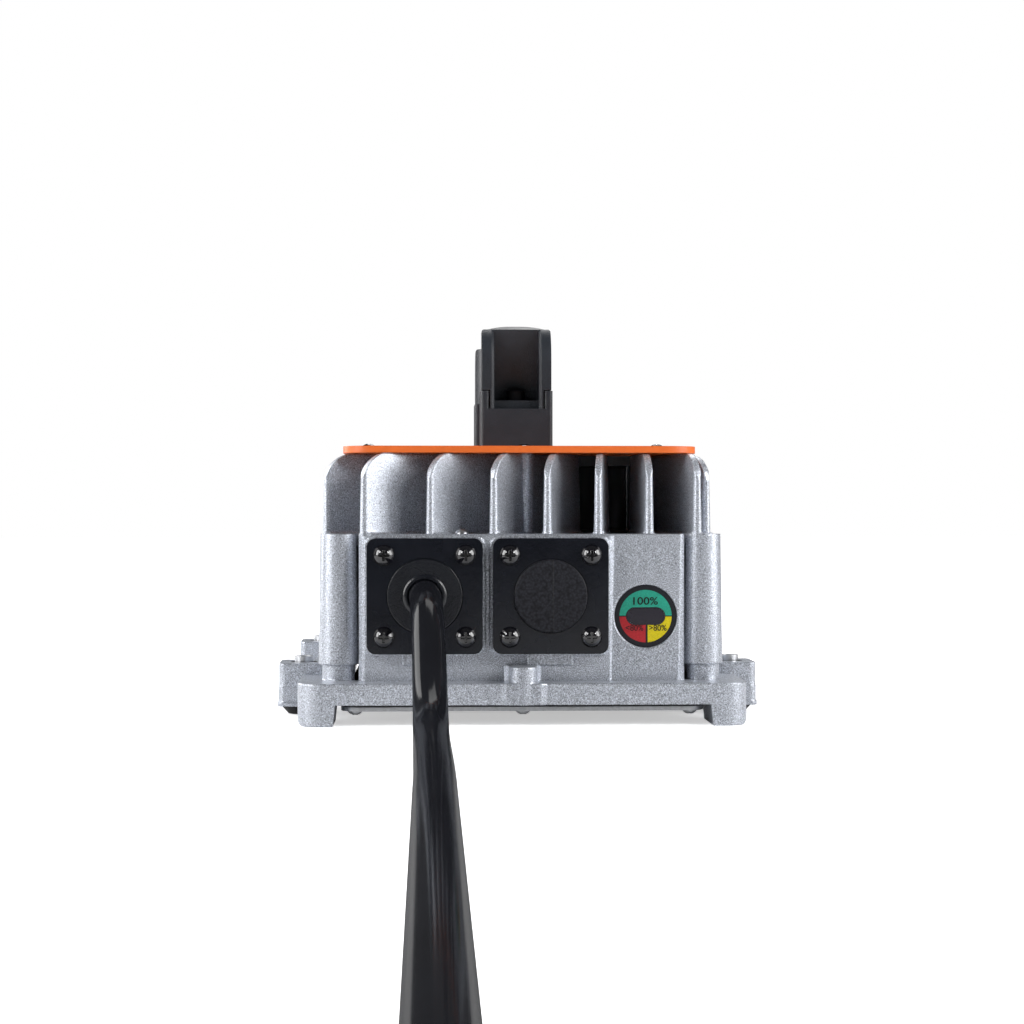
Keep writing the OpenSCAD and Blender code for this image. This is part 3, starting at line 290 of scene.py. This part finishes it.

# %% [markdown]
# ## Plastics and rubber
#
# The handle is a moulded nylon with a fine matt grain. The outlet flanges are
# smooth and nearly black with a soft gloss. The lead's vinyl mirrors nothing by
# itself and has a thin coat for its narrow lights. The bung is pebbled all over,
# with painted shade in the hollows between the pebbles and their tops painted
# lighter, and has a thin line down its middle where its mould met.

# %% Plastics
def moulded(name, colour, rough, grain, depth, edge, coat=0.0):
    """A plastic or rubber: grain and depth are those of its fine noise, edge its rounding in m."""
    finish, tree, shader, place = new_finish(name)
    fine = noise(tree, place, grain, 2, 0.55)
    broad = noise(tree, place, 35, 3, 0.6)
    tone = ramp(tree, broad, [(0.3, shade(colour, 0.82)), (0.7, shade(colour, 1.18))])
    tree.links.new(tone, shader.inputs["Base Color"])
    tree.links.new(spread_to(tree, broad, rough - 0.04, rough + 0.05), shader.inputs["Roughness"])
    if coat:
        shader.inputs["Coat Weight"].default_value = coat
        shader.inputs["Coat Roughness"].default_value = 0.12
    relief(tree, shader, [(fine, depth, 0.5)], edge)
    return finish


handle_nylon = moulded("handle_nylon", (0.020, 0.0235, 0.030), 0.42, 1700, 0.0003, 0.0003)
flange_gloss = moulded("flange_gloss", (0.006, 0.007, 0.0105), 0.14, 400, 0.00004, 0.0002)
screw_black = moulded("screw_black", (0.004, 0.004, 0.006), 0.09, 900, 0.00004, 0.0003)
seal_rubber = moulded("seal_rubber", (0.012, 0.012, 0.013), 0.6, 1400, 0.0002, 0.0003)
grommet_rubber = moulded("grommet_rubber", (0.005, 0.006, 0.009), 0.24, 1200, 0.0001, 0.0002)
foot_rubber = moulded("foot_rubber", (0.010, 0.010, 0.011), 0.7, 1300, 0.0003, 0.0004)
fan_plastic = moulded("fan_plastic", (0.035, 0.036, 0.040), 0.4, 1100, 0.0001, 0.0004)
lead_vinyl = moulded("lead_vinyl", (0.009, 0.0095, 0.012), 0.3, 260, 0.00008, 0, coat=0.25)
screw_recessed = moulded("screw_recessed", (0.005, 0.005, 0.006), 0.8, 900, 0.00004, 0.0003)
for finish, gloss in ((lead_vinyl, 0.0), (flange_gloss, 0.3), (handle_nylon, 0.35),
                      (screw_black, 0.9), (screw_recessed, 0.1)):
    finish.node_tree.nodes["Principled BSDF"].inputs["Specular IOR Level"].default_value = gloss
plug_plastic = moulded("plug_plastic", (0.09, 0.092, 0.10), 0.45, 1500, 0.0002, 0.0006)


mould_line_x = 0.0127


def bung_finish():
    finish, tree, shader, place = new_finish("bung_rubber")
    pebbles = tree.nodes.new("ShaderNodeTexVoronoi")
    pebbles.feature = "SMOOTH_F1"
    pebbles.inputs["Scale"].default_value = 1100
    tree.links.new(place.outputs["Object"], pebbles.inputs["Vector"])
    patch = noise(tree, place, 700, 2, 0.5)
    distance = pebbles.outputs["Distance"]
    # Painted shade and light: the colour follows the pebbles' height, darker in the hollows between
    # them and lighter on their tops.
    tone = ramp(tree, distance, [(0.1, (0.020, 0.021, 0.027)), (0.7, (0.005, 0.005, 0.007))])
    tree.links.new(tone, shader.inputs["Base Color"])
    shader.inputs["Roughness"].default_value = 0.5
    shader.inputs["Specular IOR Level"].default_value = 0.2
    across = tree.nodes.new("ShaderNodeSeparateXYZ")
    tree.links.new(place.outputs["Object"], across.inputs["Vector"])
    off = tree.nodes.new("ShaderNodeMath")
    off.operation = "SUBTRACT"
    off.inputs[1].default_value = mould_line_x
    tree.links.new(across.outputs["X"], off.inputs[0])
    size = tree.nodes.new("ShaderNodeMath")
    size.operation = "ABSOLUTE"
    tree.links.new(off.outputs[0], size.inputs[0])
    line = spread_to(tree, size.outputs[0], 1, 0, 0.0001, 0.00035)
    edge = 0.0006
    relief(tree, shader, [(distance, 0.0006, -0.8), (patch, 0.0005, 0.5), (line, 0.0005, 0.9)], edge)
    return finish


bung_rubber = bung_finish()

# %% [markdown]
# ## Painted, plated and printed surfaces
#
# The cover plate is powder coated orange: an even colour with the slightest
# orange peel. Screws, sleeves and the base cover are zinc plated or brushed
# steel. The gauge's fields are flat inks with a soft sheen.

# %% Paint and metal
def painted(name, colour):
    finish, tree, shader, place = new_finish(name)
    peel = noise(tree, place, 900, 2, 0.5)
    broad = noise(tree, place, 20, 3, 0.6)
    tone = ramp(tree, broad, [(0.3, shade(colour, 0.94)), (0.7, shade(colour, 1.05))])
    tree.links.new(tone, shader.inputs["Base Color"])
    tree.links.new(spread_to(tree, broad, 0.35, 0.43), shader.inputs["Roughness"])
    relief(tree, shader, [(peel, 0.00015, 0.35)], 0.0005)
    return finish


def plated(name, tone, rough, stretch=(1, 1, 1)):
    """Bare or plated metal. Its grain is drawn out along the axis where stretch is small."""
    finish, tree, shader, place = new_finish(name)
    fine = noise(tree, place, 700, 3, 0.6, stretch)
    base = ramp(tree, fine, [(0.3, shade(tone, 0.75)), (0.7, tone)])
    tree.links.new(base, shader.inputs["Base Color"])
    shader.inputs["Metallic"].default_value = 1.0
    tree.links.new(spread_to(tree, fine, rough - 0.06, rough + 0.1), shader.inputs["Roughness"])
    relief(tree, shader, [(fine, 0.0001, 0.3)], 0.0004)
    return finish


def printed(name, colour):
    finish, tree, shader, place = new_finish(name)
    dots = noise(tree, place, 1800, 1, 0.5)
    tone = ramp(tree, dots, [(0.35, shade(colour, 0.88)), (0.65, shade(colour, 1.08))])
    tree.links.new(tone, shader.inputs["Base Color"])
    shader.inputs["Roughness"].default_value = 0.35
    shader.inputs["Specular IOR Level"].default_value = 0.3
    relief(tree, shader, [(dots, 0.00003, 0.3)], 0)
    return finish


orange_paint = painted("orange_paint", (0.69, 0.135, 0.020))
zinc_plate = plated("zinc_plate", (0.62, 0.63, 0.65), 0.32)
cover_steel = plated("cover_steel", (0.50, 0.51, 0.53), 0.38, (1, 0.08, 1))
bare_aluminium = plated("bare_aluminium", (0.66, 0.67, 0.69), 0.34, (0.1, 1, 1))
copper_wire = plated("copper_wire", (0.62, 0.30, 0.14), 0.35, (1, 1, 6))
gauge_black = printed("gauge_black", (0.010, 0.010, 0.014))
gauge_green = printed("gauge_green", (0.020, 0.29, 0.200))
gauge_red = printed("gauge_red", (0.40, 0.020, 0.026))
gauge_yellow = printed("gauge_yellow", (0.60, 0.49, 0.008))

# %% Inner finishes
def board_finish():
    finish, tree, shader, place = new_finish("circuit_board")
    weave = noise(tree, place, 500, 2, 0.5, (1, 5, 1))
    tracks = tree.nodes.new("ShaderNodeTexBrick")
    tracks.inputs["Scale"].default_value = 130
    tracks.inputs["Mortar Size"].default_value = 0.03
    tree.links.new(place.outputs["Object"], tracks.inputs["Vector"])
    tracks.inputs["Color1"].default_value = (0.010, 0.085, 0.030, 1)
    tracks.inputs["Color2"].default_value = (0.013, 0.105, 0.038, 1)
    tracks.inputs["Mortar"].default_value = (0.030, 0.19, 0.07, 1)
    tree.links.new(tracks.outputs["Color"], shader.inputs["Base Color"])
    shader.inputs["Roughness"].default_value = 0.35
    relief(tree, shader, [(weave, 0.0001, 0.3)], 0.0002)
    return finish


circuit_board = board_finish()
can_sleeve = moulded("can_sleeve", (0.012, 0.016, 0.05), 0.3, 600, 0.00005, 0.0004)
ferrite = moulded("ferrite", (0.035, 0.034, 0.034), 0.65, 900, 0.0002, 0.0004)
device_epoxy = moulded("device_epoxy", (0.014, 0.014, 0.015), 0.5, 1300, 0.0001, 0.0003)
relay_case = moulded("relay_case", (0.012, 0.04, 0.17), 0.3, 700, 0.00005, 0.0004)
terminal_green = moulded("terminal_green", (0.015, 0.14, 0.035), 0.4, 700, 0.00005, 0.0004)
fuse_ceramic = moulded("fuse_ceramic", (0.62, 0.60, 0.52), 0.4, 700, 0.00005, 0.0003)
wire_red = moulded("wire_red", (0.32, 0.015, 0.012), 0.35, 500, 0.00005, 0)
lamp_lens = moulded("lamp_lens", (0.09, 0.09, 0.10), 0.15, 400, 0.00002, 0.0002)
window_tint = moulded("window_tint", (0.012, 0.010, 0.018), 0.18, 400, 0.00002, 0.0002)

# %% [markdown]
# ## Who wears what
#
# One table gives each solid its finish, so that nothing is left in its plain
# CAD colour.

# %% Dress the solids
finishes = {
    "base_gasket": seal_rubber, "base_cover": cover_steel,
    "base_cover_screws": zinc_plate, "top_plate": orange_paint,
    "top_plate_screws": screw_black, "handle_grip": handle_nylon,
    "handle_front_foot": handle_nylon, "handle_rear_foot": handle_nylon,
    "handle_foot_screws": zinc_plate, "handle_grip_screws": screw_recessed,
    "lead_flange": flange_gloss, "lead_flange_gasket": seal_rubber,
    "lead_flange_screws": screw_black, "lead_grommet": grommet_rubber,
    "blank_flange": flange_gloss, "blank_flange_gasket": seal_rubber,
    "blank_flange_screws": screw_black, "blank_bung": bung_rubber,
    "gauge_dial": gauge_black, "gauge_green_field": gauge_green,
    "gauge_red_field": gauge_red, "gauge_yellow_field": gauge_yellow,
    "gauge_window": window_tint, "gauge_lamps": lamp_lens,
    "gauge_board": circuit_board, "rubber_feet": foot_rubber,
    "foot_sleeves": zinc_plate, "deck_screw": zinc_plate,
    "fan_frame": fan_plastic, "fan_rotor": fan_plastic,
    "fan_stator": zinc_plate, "fan_screws": screw_black,
    "main_board": circuit_board, "main_board_screws": zinc_plate,
    "control_board": circuit_board, "transformer_core": ferrite,
    "transformer_winding": copper_wire, "storage_choke": copper_wire,
    "filter_choke": copper_wire, "bulk_capacitors": can_sleeve,
    "output_capacitors": can_sleeve, "power_transistors": device_epoxy,
    "transistor_bar": bare_aluminium, "relay": relay_case,
    "fuse": fuse_ceramic, "terminal_block": terminal_green,
    "inner_wires": wire_red, "plug_shell": plug_plastic,
    "plug_contacts": zinc_plate, "coil_tie": seal_rubber,
}
for name, finish in finishes.items():
    wear(nodes[name], finish)
leads = ("lead", "lead_coil", "lead_tail")
for name in leads:
    wear(nodes[name], lead_vinyl)
output_lead.data.materials.append(lead_vinyl)
plain = [n for n in nodes if n not in finishes and n not in leads and n != "housing"]
print("dressed:", len(finishes) + len(leads) + 1, "solids; left plain:", plain)

# %% [markdown]
# ## Numbers on the gauge
#
# The gauge's three fields say how full the battery is. The numbers are printed,
# so they are text turned into a mesh a hair's breadth thick on the film.

# %% Gauge numbers
number_ink = printed("number_ink", (0.006, 0.006, 0.008))
number_y = -0.12304  # just in front of the gauge's fields
capital = 0.7  # height of a number in a font of size 1


def gauge_number(name, words, x, z, width, height):
    bpy.ops.object.text_add(location=(0, 0, 0))
    word = bpy.context.object
    word.data.body = words
    word.data.size = height / capital
    word.data.extrude = 0.00003
    word.data.offset = height / 60
    bpy.ops.object.convert(target="MESH")
    word = bpy.context.object
    word.name = name
    bpy.ops.object.origin_set(type="ORIGIN_GEOMETRY", center="BOUNDS")
    word.scale = (width / word.dimensions.x, height / word.dimensions.y, 1)
    word.rotation_euler = (math.radians(90), 0, 0)
    word.location = (x, number_y, z)
    bpy.ops.object.transform_apply(location=True, rotation=True, scale=True)
    wear(word, number_ink)
    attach(word, "charger")
    bpy.ops.object.select_all(action="DESELECT")


gauge_number("gauge_number_full", "100%", 0.0528, 0.0519, 0.0106, 0.0033)
gauge_number("gauge_number_low", "<80%", 0.0480, 0.0404, 0.0076, 0.0026)
gauge_number("gauge_number_high", ">80%", 0.0580, 0.0404, 0.0076, 0.0026)

# %% [markdown]
# ## Moulded edges
#
# A moulded part has no sharp edge: the tool's corners round it, and the round
# catches a thin line of light. A Bevel node only bends the light near an edge,
# so for the black parts that stand out against their own shadow the edge is
# really cut. Each is a copy of its solid, merged, with its flat faces joined,
# and a Bevel modifier rounds what is sharper than 40 degrees. Weighted normals
# then keep the wide faces flat right up to their rounded edges.

# %% Copies with rounded edges
def eased_copy(node, width):
    piece = nodes[node].copy()
    piece.data = nodes[node].data.copy()
    piece.name = node + "_eased"
    bpy.context.scene.collection.objects.link(piece)
    bpy.ops.object.select_all(action="DESELECT")
    piece.select_set(True)
    bpy.context.view_layer.objects.active = piece
    bpy.ops.object.mode_set(mode="EDIT")
    bpy.ops.mesh.select_all(action="SELECT")
    bpy.ops.mesh.remove_doubles(threshold=0.00002)
    bpy.ops.mesh.dissolve_limited(angle_limit=math.radians(1))
    bpy.ops.object.mode_set(mode="OBJECT")
    rounding = piece.modifiers.new("edge", "BEVEL")
    rounding.width = width
    rounding.segments = 3
    rounding.limit_method = "ANGLE"
    rounding.angle_limit = math.radians(40)
    bpy.ops.object.modifier_apply(modifier="edge")
    bpy.ops.object.shade_smooth_by_angle(angle=math.radians(35))
    flatter = piece.modifiers.new("flat", "WEIGHTED_NORMAL")
    flatter.keep_sharp = True
    bpy.ops.object.modifier_apply(modifier="flat")
    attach(piece, "charger")
    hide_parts(node)
    bpy.ops.object.select_all(action="DESELECT")
    print(piece.name, len(piece.data.polygons), "faces")


for node in ("handle_grip", "handle_front_foot", "handle_rear_foot", "lead_flange", "blank_flange"):
    eased_copy(node, 0.0007)
for node in ("lead_grommet", "blank_bung"):
    eased_copy(node, 0.0005)

# %% [markdown]
# ## Collar at the lead's root
#
# Round the lead the grommet's rubber stands up in a low lip, which grips the
# lead and keeps water out. A disc's front face is inset and pushed forward for
# the lip's slope, inset again for its crest, and sunk towards the lead.

# %% Lead collar
def pick_faces(piece, wanted):
    """Selects the faces of a piece in edit mode for which wanted(centre, normal) is true."""
    bpy.ops.mesh.select_mode(type="FACE")
    bpy.ops.mesh.select_all(action="DESELECT")
    mesh = bmesh.from_edit_mesh(piece.data)
    for face in mesh.faces:
        if wanted(face.calc_center_median(), face.normal):
            face.select_set(True)
    bmesh.update_edit_mesh(piece.data)


bpy.ops.mesh.primitive_cylinder_add(vertices=64, radius=0.0094, depth=0.0006,
                                    location=(-0.0415, -0.1306, 0.0543),
                                    rotation=(math.radians(90), 0, 0))
collar = bpy.context.object
collar.name = "lead_collar"
slope, crest, inner = 0.0010, 0.0012, 0.0003  # widths of the lip's three rings
rise, sink = 0.0006, 0.0009
bpy.ops.object.transform_apply(location=True, rotation=True, scale=True)
bpy.ops.object.mode_set(mode="EDIT")
pick_faces(collar, lambda centre, normal: normal.y < -0.9)
bpy.ops.mesh.inset(thickness=slope)
bpy.ops.transform.translate(value=(0, -rise, 0))
bpy.ops.mesh.inset(thickness=crest)
bpy.ops.mesh.inset(thickness=inner)
bpy.ops.transform.translate(value=(0, sink, 0))
bpy.ops.object.mode_set(mode="OBJECT")
rounding = collar.modifiers.new("edge", "BEVEL")
rounding.width = 0.0003
rounding.segments = 3
bpy.ops.object.modifier_apply(modifier="edge")
bpy.ops.object.shade_smooth_by_angle(angle=math.radians(35))
wear(collar, grommet_rubber)
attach(collar, "charger")
bpy.ops.object.select_all(action="DESELECT")
print("collar:", len(collar.data.polygons), "faces")

# %% [markdown]
# ## Floor and light
#
# The picture's ground is white with no edge. The floor is a pale plane that
# gives off light of its own to the camera only, more with distance from the
# charger, so it closes with the white world behind it and still takes the
# charger's shadow. The light comes from soft boxes at both sides, of which a
# narrow one on the right throws the shadow of each vane on the next. The world
# is dark in front, as a room is behind a camera, so that black gloss stays black
# and a round column shows a dark band between two bright ones.

# %% Floor
bpy.ops.mesh.primitive_plane_add(size=12, location=(0, 0, 0))
floor = bpy.context.object
floor.name = "studio_floor"
bpy.ops.object.mode_set(mode="EDIT")
bpy.ops.mesh.subdivide(number_cuts=3)
bpy.ops.object.mode_set(mode="OBJECT")
paper, tree, shader, place = new_finish("studio_paper")
cloud = noise(tree, place, 3, 2, 0.5)
tone = ramp(tree, cloud, [(0.3, (0.86, 0.86, 0.865)), (0.7, (0.88, 0.88, 0.885))])
tree.links.new(tone, shader.inputs["Base Color"])
shader.inputs["Roughness"].default_value = 0.9
shader.inputs["Specular IOR Level"].default_value = 0.0
glow = tree.nodes.new("ShaderNodeEmission")
glow.inputs["Color"].default_value = (1, 1, 1, 1)
away = tree.nodes.new("ShaderNodeVectorMath")
away.operation = "LENGTH"
tree.links.new(place.outputs["Object"], away.inputs[0])
fade = tree.nodes.new("ShaderNodeMapRange")
fade.inputs["From Min"].default_value = 0.12  # m from the charger's middle
fade.inputs["From Max"].default_value = 0.5
fade.inputs["To Min"].default_value = 0.5
fade.inputs["To Max"].default_value = 1.0
tree.links.new(away.outputs["Value"], fade.inputs["Value"])
rays = tree.nodes.new("ShaderNodeLightPath")
seen = tree.nodes.new("ShaderNodeMath")
seen.operation = "MULTIPLY"
tree.links.new(rays.outputs["Is Camera Ray"], seen.inputs[0])
tree.links.new(fade.outputs["Result"], seen.inputs[1])
tree.links.new(seen.outputs[0], glow.inputs["Strength"])
both = tree.nodes.new("ShaderNodeAddShader")
tree.links.new(shader.outputs["BSDF"], both.inputs[0])
tree.links.new(glow.outputs["Emission"], both.inputs[1])
tree.links.new(both.outputs["Shader"], tree.nodes["Material Output"].inputs["Surface"])
floor.data.materials.append(paper)
bpy.ops.object.select_all(action="DESELECT")

# %% World
world = bpy.data.worlds.new("studio")
bpy.context.scene.world = world
world.use_nodes = True
tree = world.node_tree
back = tree.nodes["Background"]
room = tree.nodes.new("ShaderNodeTexCoord")
axes = tree.nodes.new("ShaderNodeSeparateXYZ")
tree.links.new(room.outputs["Generated"], axes.inputs["Vector"])
front_dark = tree.nodes.new("ShaderNodeMapRange")
front_dark.inputs["From Min"].default_value = -0.9
front_dark.inputs["From Max"].default_value = 0.1
front_dark.inputs["To Min"].default_value = 0.02
front_dark.inputs["To Max"].default_value = 0.12
tree.links.new(axes.outputs["Y"], front_dark.inputs["Value"])
rays = tree.nodes.new("ShaderNodeLightPath")
pick = tree.nodes.new("ShaderNodeMix")
pick.data_type = "FLOAT"
tree.links.new(rays.outputs["Is Camera Ray"], pick.inputs["Factor"])
tree.links.new(front_dark.outputs["Result"], pick.inputs["A"])
pick.inputs["B"].default_value = 1.0
tree.links.new(pick.outputs["Result"], back.inputs["Strength"])
back.inputs["Color"].default_value = (1, 1, 1, 1)


# %% Lamps
def soft_box(name, around, up, away, width, height, power):
    """A soft box that many degrees round from the front, up from level, and metres away."""
    turn, rise = math.radians(around), math.radians(up)
    aim = Vector((0, 0, 0.06))
    level = math.cos(rise)
    reach = Vector((math.sin(turn) * level, -math.cos(turn) * level, math.sin(rise)))
    bpy.ops.object.light_add(type="AREA", location=aim + away * reach)
    lamp = bpy.context.object
    lamp.name = name
    lamp.data.shape = "RECTANGLE"
    lamp.data.size = width
    lamp.data.size_y = height
    lamp.data.energy = power
    lamp.rotation_euler = (-reach).to_track_quat("-Z", "Y").to_euler()


soft_box("left_front_box", -42, 28, 1.3, 0.16, 0.3, 2.6)
soft_box("left_box", -65, 22, 1.15, 0.5, 0.8, 9.4)
soft_box("left_rear_box", -120, 22, 1.15, 0.6, 0.8, 10.0)
soft_box("vane_box", 42, 28, 1.35, 0.1, 0.25, 3.2)
soft_box("right_front_box", 55, 22, 1.25, 0.4, 0.7, 3.7)
soft_box("right_box", 72, 22, 1.15, 0.5, 0.8, 8.2)
soft_box("rear_box", 170, 50, 1.3, 0.6, 0.8, 6.0)

bpy.context.scene.view_settings.view_transform = "Standard"
